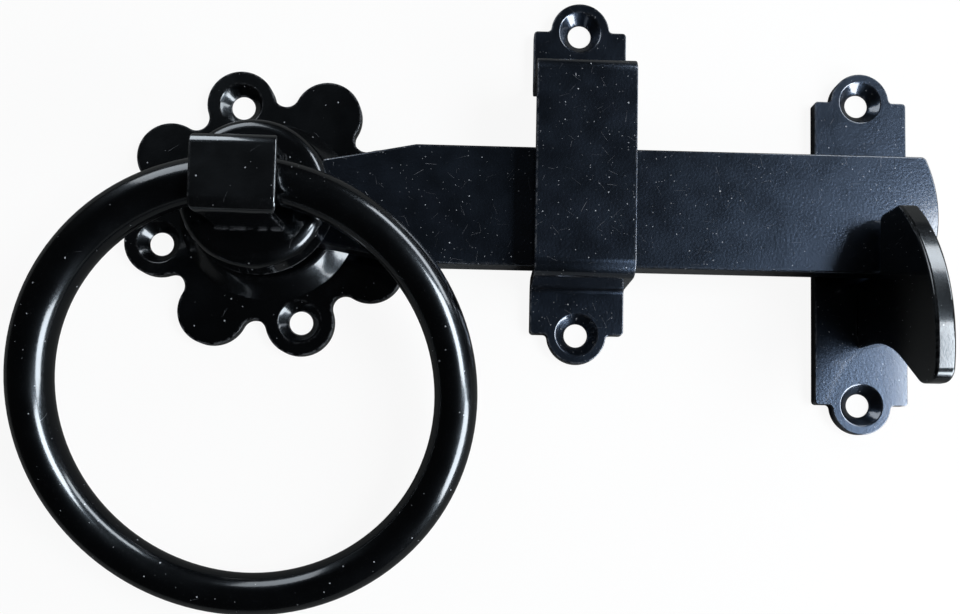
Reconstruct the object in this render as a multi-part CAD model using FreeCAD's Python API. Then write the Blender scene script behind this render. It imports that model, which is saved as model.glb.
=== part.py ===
import FreeCAD, Part
import math
import os

from FreeCAD import Vector

# A ring gate latch: the ring turns a hub, and the hub lifts a flat bar out of a hooked keep.
# Sizes are millimetres and degrees. The latch lies on the gate's face, z = 0, with x along the bar
# towards the keep, y up the gate and z out of it. The origin is where the hub's axis meets the gate.

# Strip that the staple and the keep's plate are pressed from
strip_width = 20.0
strip_thickness = 2.4
fold_inner_radius = 0.8
tab_radius = 6.3
tab_root_radius = 0.9
strip_corner_radius = 0.8
screw_spacing = 66.0

# Countersunk screw holes, the same in every plate
screw_hole_diameter = 5.0
countersink_diameter = 9.0
countersink_angle = 90.0

# Rose, a lobed sheet with a hollow pressed dome
rose_thickness = 2.2
lobe_count = 8
lobe_circle_radius = 24.3
lobe_radius = 7.2
valley_offset = 1.55
rose_turn = 16.5
dome_base_radius = 19.0
dome_slope = 45.0
dome_height = 5.85
dome_edge_radius = 1.6

# Latch bar
bar_width = 24.6
bar_thickness = 5.0
bar_reach = 139.1
bar_tip_radius = 29.0
bar_tip_corner_radius = 1.2
bar_shoulder_place = 31.5
bar_shoulder_length = 6.5
bar_shoulder_radius = 1.5
bar_neck_width = 22.0
bar_neck_radius = 8.0
bar_neck_taper = 10.8
bar_eye_radius = 11.4

# Hub: a turned cap, a square that drives the bar and a journal riveted over a washer
cap_base_radius = 15.4
cap_draft = 8.0
cap_height = 5.5
cap_edge_radius = 2.6
square_side = 9.0
rivet_head_radius = 6.4
rivet_head_height = 1.4
washer_radius = 10.0
washer_thickness = 1.5

# Ring and the strap that holds it to the cap
ring_radius = 41.2
ring_bar_diameter = 8.6
ring_side_tilt = 2.0
ring_side_shift = -0.5
ring_push = 0.4
strap_width = 15.8
strap_thickness = 1.6
strap_centre_height = -0.3
strap_bend_radius = 2.4
strap_inner_bend_radius = 0.6
strap_corner_radius = 2.0
strap_shoulder_drop = 0.8
strap_shoulder_length = 3.0
tang_width = 12.8

# Staple: a hat-shaped guide over the bar
staple_place = 65.6
staple_opening = 39.4
staple_height = 17.0
staple_centre_height = 8.2

# Keep: a plate with a hook standing out of it
keep_inset = 12.3
keep_centre_height = -5.7
hook_thickness = 3.7
hook_side_shift = 1.05
hook_reach = 32.6
hook_ramp_radius = 38.0
hook_crown_drop = 16.7
hook_lip_height = 11.6
hook_arm_height = 14.2
hook_arm_length = 12.2
hook_throat_radius = 20.0
hook_tip_drop = 9.9
hook_tip_length = 5.6
hook_tip_radius = 3.0
hook_nose_radius = 2.2
hook_corner_radius = 1.2
hook_edge_radius = 0.6
tenon_length = 9.0

# Clearances
shaft_clearance = 0.08
fit_clearance = 0.05
running_gap = 0.15
bar_side_gap = 0.5
ring_gap = 0.25
ring_head_gap = 0.8
ring_cap_gap = 1.1
hook_gap = 1.2

# Levels above the gate's face
bar_bottom = dome_height + running_gap
bar_top = bar_bottom + bar_thickness
cap_top = bar_top + cap_height
bar_lower_edge = -bar_width / 2

# The keep stands a set length short of the bar's tip
keep_place = bar_reach - keep_inset

# The ring bends inside the strap, so its axis lies halfway through that bend
ring_bar_radius = ring_bar_diameter / 2
ring_sagitta = ring_radius - math.sqrt(ring_radius ** 2 - (strap_width / 2) ** 2)
ring_axis_inset = ring_sagitta / 2
ring_slope_room = abs(ring_side_shift) / ring_radius * strap_width / 2
ring_tilt_room = math.sin(math.radians(abs(ring_side_tilt))) * strap_width / 2

# The strap leaves the ring room to be pushed up in it, and the ring is pushed up at rest
ring_room = ring_bar_radius + ring_axis_inset + ring_slope_room + ring_tilt_room
strap_inner_half = ring_room + ring_push + ring_gap
strap_outer_half = strap_inner_half + strap_thickness
ring_axis_height = strap_centre_height + ring_push
ring_level = cap_top + ring_bar_radius + ring_cap_gap
strap_inner_top = ring_level + ring_bar_radius + ring_head_gap
strap_top = strap_inner_top + strap_thickness

# How far a cutter runs past what it cuts, and when two places count as one
past = 1.0
nearly = 1e-4

ORIGIN = Vector(0, 0, 0)
X_AXIS = Vector(1, 0, 0)
Y_AXIS = Vector(0, 1, 0)
Z_AXIS = Vector(0, 0, 1)


def tangent_lengths(corners):
    """Length that each rounded corner takes from its two sides, for corners given as (u, v, radius)."""
    lengths = []
    for index, corner in enumerate(corners):
        here = Vector(corner[0], corner[1], 0)
        before = Vector(corners[index - 1][0], corners[index - 1][1], 0) - here
        after_corner = corners[(index + 1) % len(corners)]
        after = Vector(after_corner[0], after_corner[1], 0) - here
        lengths.append(corner[2] / math.tan(before.getAngle(after) / 2))
    return lengths


def outline(corners):
    """Closed wire through the corners (u, v, radius), with each corner rounded by its radius."""
    edges = []
    ends = []
    for index, (corner, length) in enumerate(zip(corners, tangent_lengths(corners))):
        here = Vector(corner[0], corner[1], 0)
        before_corner = corners[index - 1]
        after_corner = corners[(index + 1) % len(corners)]
        before = (Vector(before_corner[0], before_corner[1], 0) - here).normalize()
        after = (Vector(after_corner[0], after_corner[1], 0) - here).normalize()
        first = here + before * length
        last = here + after * length
        ends.append((first, last))
        if corner[2] > 0:
            inward = (before + after).normalize()
            to_centre = math.hypot(length, corner[2])
            middle = here + inward * (to_centre - corner[2])
            edges.append(Part.Arc(first, middle, last).toShape())
    for index, (first, last) in enumerate(ends):
        following = ends[(index + 1) % len(ends)][0]
        if (following - last).Length > nearly:
            edges.append(Part.LineSegment(last, following).toShape())
    return Part.Wire(Part.__sortEdges__(edges))


def slab(wire, thickness, level=0.0):
    """Flat piece of the wire's outline, from level up."""
    solid = Part.Face(wire).extrude(Z_AXIS * thickness)
    solid.translate(Z_AXIS * level)
    return solid


def side_slab(wire, width, place):
    """Piece whose outline is drawn as (y, z), centred at x = place."""
    solid = Part.Face(wire).extrude(Z_AXIS * width)
    solid.rotate(ORIGIN, Vector(1, 1, 1), 120)
    solid.translate(X_AXIS * (place - width / 2))
    return solid


def end_slab(wire, width):
    """Piece whose outline is drawn as (x, z), centred at y = 0."""
    solid = Part.Face(wire).extrude(Z_AXIS * width)
    solid.rotate(ORIGIN, X_AXIS, 90)
    solid.translate(Vector(0, width / 2, 0))
    return solid


def turned(corners):
    """Solid of revolution about z from corners given as (radius, z, corner radius)."""
    face = Part.Face(outline(corners))
    face.rotate(ORIGIN, X_AXIS, 90)
    return face.revolve(ORIGIN, Z_AXIS, 360)


def block(low, high):
    """Box between two opposite corners."""
    size = high - low
    return Part.makeBox(size.x, size.y, size.z, low)


def upright_edges(solid, height):
    """Straight edges of a flat piece that run through its full height."""
    found = []
    for edge in solid.Edges:
        heights = [vertex.Point.z for vertex in edge.Vertexes]
        if len(heights) == 2 and abs(heights[0] - heights[1]) > height - nearly:
            found.append(edge)
    return found


def screw_hole(x, y, thickness):
    """Cutter for a countersunk screw hole through a plate that lies on the gate."""
    hole_radius = screw_hole_diameter / 2
    sink_radius = countersink_diameter / 2
    spread = math.tan(math.radians(countersink_angle / 2))
    sink_depth = (sink_radius - hole_radius) / spread
    cutter = turned([
        (0, -past, 0),
        (hole_radius, -past, 0),
        (hole_radius, thickness - sink_depth, 0),
        (sink_radius, thickness, 0),
        (sink_radius + past * spread, thickness + past, 0),
        (0, thickness + past, 0),
    ])
    cutter.translate(Vector(x, y, 0))
    return cutter


def tabbed_slab(height):
    """Strip raised to a height, with a round screw tab at each end and the roots of the tabs eased."""
    half = strip_width / 2
    shoulder = screw_spacing / 2
    solid = slab(outline([
        (-half, -shoulder, strip_corner_radius),
        (half, -shoulder, strip_corner_radius),
        (half, shoulder, strip_corner_radius),
        (-half, shoulder, strip_corner_radius),
    ]), height)
    tabs = [Part.makeCylinder(tab_radius, height, Vector(0, end, 0)) for end in (-shoulder, shoulder)]
    solid = solid.fuse(tabs).removeSplitter()
    roots = []
    for edge in upright_edges(solid, height):
        foot = edge.Vertexes[0].Point
        if abs(abs(foot.x) - tab_radius) < nearly and abs(abs(foot.y) - shoulder) < nearly:
            roots.append(edge)
    return solid.makeFillet(tab_root_radius, roots)


def lobed_outline():
    """Outline of the rose: round lobes joined by round valleys."""
    step = 2 * math.pi / lobe_count
    valley_place = lobe_circle_radius + valley_offset
    across = lobe_circle_radius * math.sin(step / 2)
    along = valley_place - lobe_circle_radius * math.cos(step / 2)
    valley_radius = math.hypot(across, along) - lobe_radius

    def at(radius, angle):
        return Vector(radius * math.cos(angle), radius * math.sin(angle), 0)

    edges = []
    for index in range(lobe_count):
        angle = math.radians(rose_turn) + index * step
        lobe = at(lobe_circle_radius, angle)
        next_lobe = at(lobe_circle_radius, angle + step)
        valley_before = at(valley_place, angle - step / 2)
        valley_after = at(valley_place, angle + step / 2)
        start = lobe + (valley_before - lobe).normalize() * lobe_radius
        end = lobe + (valley_after - lobe).normalize() * lobe_radius
        next_start = next_lobe + (valley_after - next_lobe).normalize() * lobe_radius
        outermost = at(lobe_circle_radius + lobe_radius, angle)
        innermost = at(valley_place - valley_radius, angle + step / 2)
        edges.append(Part.Arc(start, outermost, end).toShape())
        edges.append(Part.Arc(end, innermost, next_start).toShape())
    return Part.Wire(edges)


def make_rose_plate():
    """Lobed plate with a hollow dome, a journal hole and a screw hole in every second lobe."""
    run = 1 / math.tan(math.radians(dome_slope))
    dome_top_radius = dome_base_radius - (dome_height - rose_thickness) * run
    dome = turned([
        (0, 0, 0),
        (dome_base_radius, 0, 0),
        (dome_base_radius, rose_thickness, 0),
        (dome_top_radius, dome_height, dome_edge_radius),
        (0, dome_height, 0),
    ])
    # The hollow follows the dome's side one sheet thickness inside it
    inset = rose_thickness / math.sin(math.radians(dome_slope))
    ceiling = dome_height - rose_thickness
    hollow = turned([
        (0, -past, 0),
        (dome_base_radius + (rose_thickness + past) * run - inset, -past, 0),
        (dome_base_radius + (rose_thickness - ceiling) * run - inset, ceiling, 0),
        (0, ceiling, 0),
    ])
    plate = slab(lobed_outline(), rose_thickness).fuse(dome).cut(hollow)
    journal_hole = square_side / 2 + shaft_clearance
    plate = plate.cut(Part.makeCylinder(journal_hole, dome_height + 2 * past, Vector(0, 0, -past)))
    for index in range(0, lobe_count, 2):
        angle = math.radians(rose_turn + index * 360 / lobe_count)
        x = lobe_circle_radius * math.cos(angle)
        y = lobe_circle_radius * math.sin(angle)
        plate = plate.cut(screw_hole(x, y, rose_thickness))
    return plate.removeSplitter()


def make_latch_bar():
    """Flat bar with an arched tip, a stepped neck and a round eye with a square hole."""
    half = bar_width / 2
    neck_half = bar_neck_width / 2
    taper = math.tan(math.radians(bar_neck_taper))
    neck_start = bar_shoulder_place - bar_shoulder_length
    neck_end_half = neck_half - neck_start * taper
    tip_corner_place = bar_reach - bar_tip_radius + math.sqrt(bar_tip_radius ** 2 - half ** 2)

    strip = slab(outline([
        (0, -neck_end_half, 0),
        (neck_start, -neck_half, bar_neck_radius),
        (bar_shoulder_place, -half, bar_shoulder_radius),
        (tip_corner_place, -half, 0),
        (tip_corner_place, half, 0),
        (bar_shoulder_place, half, bar_shoulder_radius),
        (neck_start, neck_half, bar_neck_radius),
        (0, neck_end_half, 0),
    ]), bar_thickness)
    tip_chord = [Vector(tip_corner_place, -half, 0), Vector(tip_corner_place, half, 0)]
    tip_edges = [
        Part.Arc(tip_chord[0], Vector(bar_reach, 0, 0), tip_chord[1]).toShape(),
        Part.LineSegment(tip_chord[1], tip_chord[0]).toShape(),
    ]
    tip = slab(Part.Wire(tip_edges), bar_thickness)
    eye = Part.makeCylinder(bar_eye_radius, bar_thickness)
    bar = eye.fuse([strip, tip]).removeSplitter()

    corners = []
    for edge in upright_edges(bar, bar_thickness):
        if abs(edge.Vertexes[0].Point.x - tip_corner_place) < nearly:
            corners.append(edge)
    bar = bar.makeFillet(bar_tip_corner_radius, corners)
    hole_half = square_side / 2 + fit_clearance
    bar = bar.cut(block(
        Vector(-hole_half, -hole_half, -past),
        Vector(hole_half, hole_half, bar_thickness + past),
    ))
    bar.translate(Z_AXIS * bar_bottom)
    return bar


def tang_block(side, clearance, low, high):
    """Room that one tang of the strap takes in the cap; side is 1 above the axis and -1 below it."""
    half_width = tang_width / 2 + clearance
    inner = strap_inner_half - clearance
    outer = strap_outer_half + clearance
    near, far = sorted(strap_centre_height + side * reach for reach in (inner, outer))
    return block(Vector(-half_width, near, low), Vector(half_width, far, high))


def make_hub():
    """Turned cap with its square, journal and riveted tail, and two slots for the strap's tangs."""
    draft_inset = cap_height * math.tan(math.radians(cap_draft))
    journal_radius = square_side / 2
    washer_bottom = dome_height - rose_thickness - running_gap - washer_thickness
    head_bottom = washer_bottom - rivet_head_height
    hub = turned([
        (0, head_bottom, 0),
        (rivet_head_radius - rivet_head_height, head_bottom, 0),
        (rivet_head_radius, washer_bottom, 0),
        (journal_radius, washer_bottom, 0),
        (journal_radius, bar_top, 0),
        (cap_base_radius, bar_top, 0),
        (cap_base_radius - draft_inset, cap_top, cap_edge_radius),
        (0, cap_top, 0),
    ])
    hub = hub.fuse(block(
        Vector(-journal_radius, -journal_radius, bar_bottom),
        Vector(journal_radius, journal_radius, bar_top),
    ))
    for side in (-1, 1):
        hub = hub.cut(tang_block(side, fit_clearance, bar_top - past, cap_top + past))
    return hub


def make_hub_washer():
    """Flat washer inside the dome, under the riveted tail."""
    bottom = dome_height - rose_thickness - running_gap - washer_thickness
    bore = square_side / 2 + shaft_clearance
    disc = Part.makeCylinder(washer_radius, washer_thickness, Z_AXIS * bottom)
    return disc.cut(Part.makeCylinder(bore, washer_thickness + 2 * past, Z_AXIS * (bottom - past)))


def lowest_of_ring(lean):
    """Height of the ring's lowest point at a lean in degrees."""
    lean_angle = math.radians(lean)
    tilt_angle = math.radians(ring_side_tilt)
    upright = math.cos(lean_angle) * math.cos(tilt_angle)
    hang = (ring_radius - ring_axis_inset) * math.sin(lean_angle)
    side_drop = ring_side_shift * math.sin(tilt_angle) * math.cos(lean_angle)
    return ring_level - hang - side_drop - ring_radius * math.sqrt(1 - upright ** 2) - ring_bar_radius


def resting_lean():
    """Lean in degrees at which the ring just touches the gate's face."""
    flat, steep = 0.0, 90.0
    while steep - flat > nearly:
        middle = (flat + steep) / 2
        if lowest_of_ring(middle) > 0:
            flat = middle
        else:
            steep = middle
    return flat


def make_ring():
    """Round bar bent into a closed ring, lying loose in the strap and leaning back onto the gate."""
    ring = Part.makeTorus(ring_radius, ring_bar_radius)
    ring.translate(Vector(ring_side_shift, ring_axis_inset - ring_radius, 0))
    ring.rotate(ORIGIN, Y_AXIS, ring_side_tilt)
    ring.rotate(ORIGIN, X_AXIS, resting_lean())
    ring.translate(Vector(0, ring_axis_height, ring_level))
    return ring


def make_ring_strap():
    """Strip folded over the ring, with its two legs drawn in to tangs that pass through the cap."""
    fold = side_slab(outline([
        (-strap_outer_half, bar_top, 0),
        (-strap_outer_half, strap_top, strap_bend_radius),
        (strap_outer_half, strap_top, strap_bend_radius),
        (strap_outer_half, bar_top, 0),
        (strap_inner_half, bar_top, 0),
        (strap_inner_half, strap_inner_top, strap_inner_bend_radius),
        (-strap_inner_half, strap_inner_top, strap_inner_bend_radius),
        (-strap_inner_half, bar_top, 0),
    ]), strap_width, 0)
    half = strap_width / 2
    tang_half = tang_width / 2
    shoulder_top = strap_top - strap_shoulder_drop
    shoulder_foot = shoulder_top - strap_shoulder_length
    front = end_slab(outline([
        (-tang_half, bar_top, 0),
        (tang_half, bar_top, 0),
        (tang_half, shoulder_foot, strap_corner_radius),
        (half, shoulder_top, strap_corner_radius),
        (half, strap_top + past, 0),
        (-half, strap_top + past, 0),
        (-half, shoulder_top, strap_corner_radius),
        (-tang_half, shoulder_foot, strap_corner_radius),
    ]), 2 * strap_outer_half + 2 * past)
    strap = fold.common(front)
    strap.translate(Y_AXIS * strap_centre_height)
    return strap


def make_staple():
    """Strip folded into a hat over the bar, with a screw tab at each end."""
    low_inner = bar_lower_edge - bar_side_gap
    high_inner = low_inner + staple_opening
    low_outer = low_inner - strip_thickness
    high_outer = high_inner + strip_thickness
    outer_radius = fold_inner_radius + strip_thickness
    flange_low = staple_centre_height - screw_spacing / 2 - tab_radius
    flange_high = staple_centre_height + screw_spacing / 2 + tab_radius
    under_bridge = staple_height - strip_thickness
    hat = side_slab(outline([
        (flange_low, 0, 0),
        (flange_low, strip_thickness, 0),
        (low_outer, strip_thickness, fold_inner_radius),
        (low_outer, staple_height, outer_radius),
        (high_outer, staple_height, outer_radius),
        (high_outer, strip_thickness, fold_inner_radius),
        (flange_high, strip_thickness, 0),
        (flange_high, 0, 0),
        (high_inner, 0, outer_radius),
        (high_inner, under_bridge, fold_inner_radius),
        (low_inner, under_bridge, fold_inner_radius),
        (low_inner, 0, outer_radius),
    ]), strip_width, staple_place)
    front = tabbed_slab(staple_height)
    front.translate(Vector(staple_place, staple_centre_height, 0))
    staple = hat.common(front)
    for end in (-1, 1):
        y = staple_centre_height + end * screw_spacing / 2
        staple = staple.cut(screw_hole(staple_place, y, strip_thickness))
    return staple


def tenon_block(clearance):
    """Room that the hook's tenon takes in the keep's plate."""
    middle = bar_lower_edge - hook_arm_height / 2
    half_length = tenon_length / 2 + clearance
    half_width = hook_thickness / 2 + clearance
    place = keep_place + hook_side_shift
    return block(
        Vector(place - half_width, middle - half_length, 0),
        Vector(place + half_width, middle + half_length, strip_thickness),
    )


def make_keep_plate():
    """Tabbed plate with a slot for the hook's tenon."""
    plate = tabbed_slab(strip_thickness)
    plate.translate(Vector(keep_place, keep_centre_height, 0))
    for end in (-1, 1):
        y = keep_centre_height + end * screw_spacing / 2
        plate = plate.cut(screw_hole(keep_place, y, strip_thickness))
    return plate.cut(tenon_block(fit_clearance))


def make_keep_hook():
    """Fin that carries the bar on its arm, with a lip in front of the bar and a round ramp outside."""
    place = keep_place + hook_side_shift
    lip_inner = bar_top + hook_gap
    lip_top = bar_lower_edge + hook_lip_height
    arm_bottom = bar_lower_edge - hook_arm_height
    tip_low = arm_bottom - hook_tip_drop
    ramp_centre = Vector(place, bar_lower_edge - hook_crown_drop, hook_reach - hook_ramp_radius)

    body = side_slab(outline([
        (arm_bottom, strip_thickness, 0),
        (bar_lower_edge, strip_thickness, 0),
        (bar_lower_edge, lip_inner, hook_corner_radius),
        (lip_top, lip_inner, hook_corner_radius),
        (lip_top, hook_reach, 0),
        (tip_low, hook_reach, 0),
        (tip_low, hook_reach - hook_tip_length, hook_tip_radius),
        (arm_bottom, strip_thickness + hook_arm_length, hook_throat_radius),
    ]), hook_thickness, place)
    start = ramp_centre - X_AXIS * hook_thickness
    hook = body.common(Part.makeCylinder(hook_ramp_radius, 2 * hook_thickness, start, X_AXIS))

    def across_at(y):
        """Edges that cross the fin at a height y and lie on the ramp."""
        found = []
        for edge in hook.Edges:
            low, high = edge.Vertexes[0].Point, edge.Vertexes[-1].Point
            across = abs(low.x - high.x) > hook_thickness - nearly
            reach = math.hypot(low.y - ramp_centre.y, low.z - ramp_centre.z)
            if across and abs(low.y - y) < nearly and abs(reach - hook_ramp_radius) < nearly:
                found.append(edge)
        return found

    hook = hook.makeFillet(hook_nose_radius, across_at(lip_top))
    hook = hook.makeFillet(hook_tip_radius, across_at(tip_low))

    # The fin's rims are rounded over, all but where it stands on the plate
    rims = []
    for edge in hook.Edges:
        middle = edge.valueAt((edge.FirstParameter + edge.LastParameter) / 2)
        on_side = abs(abs(middle.x - place) - hook_thickness / 2) < nearly
        if on_side and middle.z > strip_thickness + nearly:
            rims.append(edge)
    hook = hook.makeFillet(hook_edge_radius, rims)
    return hook.fuse(tenon_block(0)).removeSplitter()


pieces = {
    "ring": make_ring(),
    "ring_strap": make_ring_strap(),
    "hub": make_hub(),
    "hub_washer": make_hub_washer(),
    "latch_bar": make_latch_bar(),
    "rose_plate": make_rose_plate(),
    "staple": make_staple(),
    "keep_plate": make_keep_plate(),
    "keep_hook": make_keep_hook(),
}

os.makedirs("parts", exist_ok=True)
for name, piece in pieces.items():
    piece.exportStep("parts/" + name + ".step")
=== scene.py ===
import math

import bpy
from mathutils import Matrix, Vector

# A ring gate latch in black paint, lying on a pale floor and seen from above.
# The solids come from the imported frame. This script rounds their edges, paints them, lights the scene
# and places the camera.
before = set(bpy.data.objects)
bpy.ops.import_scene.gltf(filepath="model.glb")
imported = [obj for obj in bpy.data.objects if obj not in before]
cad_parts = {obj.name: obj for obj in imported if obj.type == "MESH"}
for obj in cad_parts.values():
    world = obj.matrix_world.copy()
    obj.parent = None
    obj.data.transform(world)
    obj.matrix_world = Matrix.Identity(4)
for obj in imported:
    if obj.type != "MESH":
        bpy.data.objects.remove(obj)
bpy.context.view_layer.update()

MM = 0.001
WHITE = (1, 1, 1, 1)

# Camera, fitted to the photograph, in millimetres, radians and pixels
IMAGE_WIDTH = 960
IMAGE_HEIGHT = 614
SENSOR_WIDTH = 36.0
CAMERA_PLACE = Vector((46.432, -51.316, 172.658))
CAMERA_TURN = (-0.052, 0.022, -0.018)
FOCAL_PIXELS = 808.1
AXIS_PIXEL = (501.509, 415.683)
NEAREST_SEEN = 1.0

# Rounded paint edges, in millimetres; the screw holes' short walls and the strap's bends limit them
EDGE_RADIUS = {
    "ring_strap": 0.3,
    "hub_washer": 0.2,
    "latch_bar": 0.45,
    "rose_plate": 0.095,
    "staple": 0.19,
    "keep_plate": 0.19,
}
EDGE_SEGMENTS = 4
EDGE_ANGLE = math.radians(32)
FLAT_ANGLE = math.radians(0.2)
WELD_GAP = 0.001

# Colour of all the paint, so dark that what shows is its gloss
PAINT_COLOUR = (0.0004, 0.0005, 0.0007, 1)

# Paint on the bar and the plates, with its peel's height and its wear's spacing in millimetres
PLATE_TINT = (0.47, 0.66, 1.0, 1)
PLATE_ROUGHNESS = (0.29, 0.35)
PLATE_IOR = 1.8
PLATE_PEEL_HEIGHT = 0.042
PLATE_SCRATCH_SPACING = 3.0
PLATE_SPECK_SPACING = 0.62

# Smoother paint on the round and pressed pieces, and a glossier one on the strap
SMOOTH_NODES = ("ring", "hub", "hub_washer", "rose_plate", "keep_hook")
SMOOTH_TINT = (0.75, 0.88, 1.0, 1)
SMOOTH_ROUGHNESS = (0.22, 0.27)
SMOOTH_IOR = 1.58
SMOOTH_PEEL_HEIGHT = 0.012
SMOOTH_SCRATCH_SPACING = 8.0
SMOOTH_SPECK_SPACING = 1.6
STRAP_IOR = 2.0

# Lumps of the paint's two layers and of its roughness, in millimetres, and the mean of a random colour
PEEL_SIZE = 0.55
PEEL_DETAIL = 5.0
GLOSS_ROUGHNESS = 0.1
GLOSS_PEEL_SIZE = 0.4
GLOSS_PEEL_HEIGHT = 0.006
SATIN_SIZE = 6.0
SATIN_DETAIL = 4.0
SATIN_RANGE = (0.35, 0.65)
MIDDLE_COLOUR = (0.5, 0.5, 0.5)

# Dust, specks, scratches and rubbed edges, in millimetres
DUST_COLOUR = (0.4, 0.42, 0.45, 1)
DUST_SPACING = 1.25
DUST_RADIUS = 0.17
SPECK_RARITY = 4.0
SPECK_COLOUR = (0.27, 0.28, 0.3, 1)
SPECK_RADIUS = 0.15
PATCH_SIZE = 5.0
PATCH_DETAIL = 3.0
PATCH_RANGE = (0.4, 0.6)
SCRATCH_COLOUR = (0.16, 0.165, 0.18, 1)
SCRATCH_REACH = 1.15
SCRATCH_WIDTH = 0.028
RUB_COLOUR = (0.14, 0.145, 0.155, 1)
RUB_DEPTH = 0.5
RUB_SIZE = 1.2
RUB_RANGE = (0.6, 0.85)
RUB_SAMPLES = 4

# Floor: its colour to the eye and to the object, and how far towards white each sees it
SEEN_COLOUR = (0.8, 0.8, 0.79, 1)
FLOOR_COLOUR = (0.09, 0.09, 0.087, 1)
SEEN_WHITENING = 0.92
MIRRORED_WHITENING = 0.005
FLOOR_REACH = 3.0
FLOOR_DROP = 0.05

# Light: the windows' colour, and the room's colour and strength
DAYLIGHT = (0.92, 0.96, 1.0)
ROOM_COLOUR = (0.9, 0.95, 1.0, 1)
ROOM_STRENGTH = 0.004


def new_material(name):
    """Empty node material and its node tree."""
    material = bpy.data.materials.new(name)
    material.use_nodes = True
    material.node_tree.nodes.clear()
    return material, material.node_tree


def add_node(tree, kind, **settings):
    """New node with its properties set; keys that name a socket set that socket's value."""
    node = tree.nodes.new(kind)
    for key, value in settings.items():
        if key in node.inputs:
            node.inputs[key].default_value = value
        else:
            setattr(node, key, value)
    return node


def link(tree, source, target):
    """Joins an output socket to an input socket."""
    tree.links.new(source, target)


def feed(tree, target, value):
    """Sets an input socket to a value, or joins another socket to it."""
    if isinstance(value, bpy.types.NodeSocket):
        tree.links.new(value, target)
    else:
        target.default_value = value


def reckon(tree, operation, *values):
    """Result of a math node on sockets or numbers."""
    node = add_node(tree, "ShaderNodeMath", operation=operation)
    for target, value in zip(node.inputs, values):
        feed(tree, target, value)
    return node.outputs["Value"]


def combine(tree, operation, result, *vectors):
    """Named result of a vector math node on sockets or vectors."""
    node = add_node(tree, "ShaderNodeVectorMath", operation=operation)
    for target, vector in zip(node.inputs, vectors):
        feed(tree, target, vector)
    return node.outputs[result]


def noise(tree, place, size, detail):
    """Noise whose lumps are about the given size in millimetres."""
    node = add_node(tree, "ShaderNodeTexNoise", Scale=1 / (size * MM), Detail=detail)
    link(tree, place, node.inputs["Vector"])
    return node.outputs["Fac"]


def cells(tree, place, spacing):
    """Outputs of a texture of random cells, about the given spacing in millimetres apart."""
    node = add_node(tree, "ShaderNodeTexVoronoi", Scale=1 / (spacing * MM))
    link(tree, place, node.inputs["Vector"])
    return node.outputs


def spread(tree, value, low, high, start=0.0, end=1.0):
    """Maps a value from low..high to start..end, held at both ends."""
    node = add_node(tree, "ShaderNodeMapRange")
    for key, number in zip(("From Min", "From Max", "To Min", "To Max"), (low, high, start, end)):
        node.inputs[key].default_value = number
    link(tree, value, node.inputs["Value"])
    return node.outputs["Result"]


def specks(tree, place, spacing, radius):
    """Mask of round specks of every size up to a radius, most of them tiny, strewn through space."""
    cell = cells(tree, place, spacing)
    chance = add_node(tree, "ShaderNodeSeparateColor")
    link(tree, cell["Color"], chance.inputs["Color"])
    share = reckon(tree, "POWER", chance.outputs["Red"], SPECK_RARITY)
    edge = reckon(tree, "MULTIPLY", share, radius / spacing)
    return reckon(tree, "LESS_THAN", cell["Distance"], edge)


def scratches(tree, place, spacing):
    """Mask of short straight hairlines, one in each cell, each lying its own way."""
    cell = cells(tree, place, spacing)
    offset = combine(tree, "SUBTRACT", "Vector", place, cell["Position"])
    lean = combine(tree, "SUBTRACT", "Vector", cell["Color"], MIDDLE_COLOUR)
    across = combine(tree, "NORMALIZE", "Vector", lean)
    away = reckon(tree, "ABSOLUTE", combine(tree, "DOT_PRODUCT", "Value", offset, across))
    line = reckon(tree, "LESS_THAN", away, SCRATCH_WIDTH / 2 * MM)
    near = reckon(tree, "LESS_THAN", cell["Distance"], SCRATCH_REACH / spacing)
    return reckon(tree, "MULTIPLY", line, near)


def rubbed_edges(tree):
    """Mask of a piece's outer edges, where it is thin when seen from inside."""
    depth = add_node(
        tree, "ShaderNodeAmbientOcclusion", inside=True, only_local=True, samples=RUB_SAMPLES,
        Distance=RUB_DEPTH * MM,
    )
    return spread(tree, depth.outputs["AO"], *RUB_RANGE, start=1.0, end=0.0)


def tint(tree, mask, under, over):
    """Colour that goes from under to over where the mask is 1."""
    node = add_node(tree, "ShaderNodeMix", data_type="RGBA")
    colours = [socket for socket in node.inputs if socket.type == "RGBA"]
    feed(tree, node.inputs["Factor"], mask)
    feed(tree, colours[0], under)
    feed(tree, colours[1], over)
    return next(socket for socket in node.outputs if socket.type == "RGBA")


def peel(tree, place, size, height):
    """Normal of a surface with lumps of orange peel."""
    bump = add_node(tree, "ShaderNodeBump", Distance=height * MM)
    link(tree, noise(tree, place, size, PEEL_DETAIL), bump.inputs["Height"])
    return bump.outputs["Normal"]


def worn_colour(tree, place, scratch_spacing, speck_spacing):
    """Black with fine specks and scratches in patches, rubbed edges and dust."""
    patch = spread(tree, noise(tree, place, PATCH_SIZE, PATCH_DETAIL), *PATCH_RANGE)
    fine = reckon(tree, "MULTIPLY", patch, specks(tree, place, speck_spacing, SPECK_RADIUS))
    lines = reckon(tree, "MULTIPLY", patch, scratches(tree, place, scratch_spacing))
    chips = spread(tree, noise(tree, place, RUB_SIZE, PATCH_DETAIL), *PATCH_RANGE)
    rubbed = reckon(tree, "MULTIPLY", chips, rubbed_edges(tree))
    colour = tint(tree, fine, PAINT_COLOUR, SPECK_COLOUR)
    colour = tint(tree, lines, colour, SCRATCH_COLOUR)
    colour = tint(tree, rubbed, colour, RUB_COLOUR)
    return tint(tree, specks(tree, place, DUST_SPACING, DUST_RADIUS), colour, DUST_COLOUR)


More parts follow.
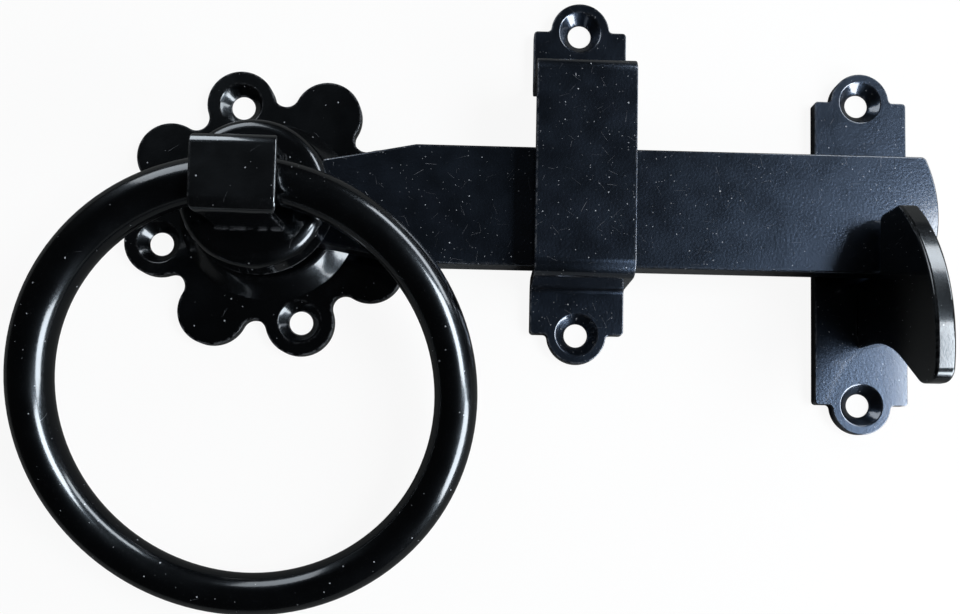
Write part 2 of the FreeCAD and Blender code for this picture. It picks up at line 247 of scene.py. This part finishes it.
def black_paint(name, roughness, ior, sheen, peel_height, scratch_spacing, speck_spacing):
    """Glossy black paint with orange peel and wear."""
    material, tree = new_material(name)
    place = add_node(tree, "ShaderNodeTexCoord").outputs["Object"]
    out = add_node(tree, "ShaderNodeOutputMaterial")
    paint = add_node(tree, "ShaderNodeBsdfPrincipled")
    paint.inputs["IOR"].default_value = ior
    paint.inputs["Specular Tint"].default_value = sheen
    paint.inputs["Coat Weight"].default_value = 1.0
    paint.inputs["Coat IOR"].default_value = ior
    paint.inputs["Coat Roughness"].default_value = GLOSS_ROUGHNESS
    link(tree, paint.outputs["BSDF"], out.inputs["Surface"])

    colour = worn_colour(tree, place, scratch_spacing, speck_spacing)
    link(tree, colour, paint.inputs["Base Color"])
    satin = spread(tree, noise(tree, place, SATIN_SIZE, SATIN_DETAIL), *SATIN_RANGE, *roughness)
    link(tree, satin, paint.inputs["Roughness"])
    link(tree, peel(tree, place, PEEL_SIZE, peel_height), paint.inputs["Normal"])
    link(tree, peel(tree, place, GLOSS_PEEL_SIZE, GLOSS_PEEL_HEIGHT), paint.inputs["Coat Normal"])
    return material


def plate_paint():
    """Paint with a grain, on the bar and the plates cut from strip."""
    return black_paint(
        "plate_paint", PLATE_ROUGHNESS, PLATE_IOR, PLATE_TINT, PLATE_PEEL_HEIGHT, PLATE_SCRATCH_SPACING,
        PLATE_SPECK_SPACING,
    )


def smooth_paint(name, ior):
    """Paint that has run smooth, on the round and pressed pieces."""
    return black_paint(
        name, SMOOTH_ROUGHNESS, ior, SMOOTH_TINT, SMOOTH_PEEL_HEIGHT, SMOOTH_SCRATCH_SPACING,
        SMOOTH_SPECK_SPACING,
    )


def round_edges(obj, radius):
    """Rounds a node's sharp edges with modifiers."""
    weld = obj.modifiers.new("join", "WELD")
    weld.merge_threshold = WELD_GAP * MM
    flatten = obj.modifiers.new("flats", "DECIMATE")
    flatten.decimate_type = "DISSOLVE"
    flatten.angle_limit = FLAT_ANGLE
    bevel = obj.modifiers.new("edges", "BEVEL")
    bevel.width = radius * MM
    bevel.segments = EDGE_SEGMENTS
    bevel.limit_method = "ANGLE"
    bevel.angle_limit = EDGE_ANGLE
    bevel.use_clamp_overlap = False
    bevel.loop_slide = False
    bevel.harden_normals = True


def dress_nodes():
    """Paints every node, and rounds the edges of those given a radius."""
    plate = plate_paint()
    smooth = smooth_paint("smooth_paint", SMOOTH_IOR)
    paints = {name: smooth for name in SMOOTH_NODES}
    paints["ring_strap"] = smooth_paint("strap_paint", STRAP_IOR)
    for name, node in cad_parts.items():
        node.data.materials.clear()
        node.data.materials.append(paints.get(name, plate))
        if name in EDGE_RADIUS:
            round_edges(node, EDGE_RADIUS[name])


def add_camera():
    """Camera at the photograph's place, with its off-centre crop as shift."""
    data = bpy.data.cameras.new("camera")
    data.sensor_width = SENSOR_WIDTH
    data.lens = FOCAL_PIXELS * SENSOR_WIDTH / IMAGE_WIDTH
    data.shift_x = (IMAGE_WIDTH / 2 - AXIS_PIXEL[0]) / IMAGE_WIDTH
    data.shift_y = (AXIS_PIXEL[1] - IMAGE_HEIGHT / 2) / IMAGE_WIDTH
    data.clip_start = NEAREST_SEEN * MM
    camera = bpy.data.objects.new("camera", data)
    bpy.context.scene.collection.objects.link(camera)
    turn = Matrix.Identity(3)
    for angle, axis in zip(CAMERA_TURN, "XYZ"):
        turn = turn @ Matrix.Rotation(angle, 3, axis)
    camera.matrix_world = Matrix.Translation(CAMERA_PLACE * MM) @ turn.transposed().to_4x4()
    bpy.context.scene.camera = camera


def from_eye(tree):
    """1 for a ray that comes from the eye, also through glass, and 0 for any other."""
    path = add_node(tree, "ShaderNodeLightPath").outputs
    return reckon(tree, "MAXIMUM", path["Is Camera Ray"], path["Is Transmission Ray"])


def white_share(tree):
    """Share of white that a ray sees: most of it from the eye, a little in a reflection."""
    path = add_node(tree, "ShaderNodeLightPath").outputs
    direct = reckon(tree, "MULTIPLY", from_eye(tree), SEEN_WHITENING)
    mirrored = reckon(tree, "MULTIPLY", path["Is Glossy Ray"], MIRRORED_WHITENING)
    return reckon(tree, "MAXIMUM", direct, mirrored)


def whiten(tree, plain, white, out):
    """Leads a plain shader to an output node, turned white as far as each ray sees it so."""
    mix = add_node(tree, "ShaderNodeMixShader")
    shaders = [socket for socket in mix.inputs if socket.type == "SHADER"]
    link(tree, white_share(tree), mix.inputs["Fac"])
    link(tree, plain, shaders[0])
    link(tree, white, shaders[1])
    link(tree, mix.outputs["Shader"], out.inputs["Surface"])


def floor_white():
    """Pale floor that shows as white and keeps the object's shadow."""
    material, tree = new_material("floor_white")
    out = add_node(tree, "ShaderNodeOutputMaterial")
    matt = add_node(tree, "ShaderNodeBsdfDiffuse")
    link(tree, tint(tree, from_eye(tree), FLOOR_COLOUR, SEEN_COLOUR), matt.inputs["Color"])
    glow = add_node(tree, "ShaderNodeEmission", Color=WHITE, Strength=1.0)
    whiten(tree, matt.outputs["BSDF"], glow.outputs["Emission"], out)
    return material


def add_floor():
    """Flat floor just under the plates."""
    mesh = bpy.data.meshes.new("floor")
    corners = [(-1, -1), (1, -1), (1, 1), (-1, 1)]
    mesh.from_pydata([(FLOOR_REACH * x, FLOOR_REACH * y, 0) for x, y in corners], [], [(0, 1, 2, 3)])
    mesh.materials.append(floor_white())
    floor = bpy.data.objects.new("floor", mesh)
    floor.location.z = -FLOOR_DROP * MM
    bpy.context.scene.collection.objects.link(floor)


def add_light(name, place, aim, size, power):
    """Soft rectangular lamp at a place, aimed at a point, in metres and watts."""
    data = bpy.data.lights.new(name, "AREA")
    data.shape = "RECTANGLE"
    data.size, data.size_y = size
    data.energy = power
    data.color = DAYLIGHT
    lamp = bpy.data.objects.new(name, data)
    lamp.location = place
    lamp.rotation_euler = (Vector(aim) - Vector(place)).to_track_quat("-Z", "Y").to_euler()
    bpy.context.scene.collection.objects.link(lamp)


def add_world():
    """Dim, even surroundings that show as white behind the floor."""
    world = bpy.data.worlds.new("room")
    world.use_nodes = True
    tree = world.node_tree
    tree.nodes.clear()
    out = add_node(tree, "ShaderNodeOutputWorld")
    dim = add_node(tree, "ShaderNodeBackground", Color=ROOM_COLOUR, Strength=ROOM_STRENGTH)
    white = add_node(tree, "ShaderNodeBackground", Color=WHITE, Strength=1.0)
    whiten(tree, dim.outputs["Background"], white.outputs["Background"], out)
    bpy.context.scene.world = world


dress_nodes()
add_floor()
add_world()
add_light("window_right", place=(0.68, -0.01, 0.68), aim=(0.09, 0, 0), size=(0.5, 0.32), power=6.8)
add_light("window_low", place=(0.4535, -0.29, 0.21), aim=(0.02, -0.012, 0), size=(0.3, 0.24), power=2.4)
add_light("window_far", place=(0.4, 0.31, 0.22), aim=(0, -0.04, 0), size=(0.4, 0.13), power=1.0)
add_light("window_top", place=(-0.225, 0.385, 0.255), aim=(0, 0, 0.028), size=(0.26, 0.3), power=0.65)
add_camera()

bpy.context.scene.view_settings.view_transform = "Standard"
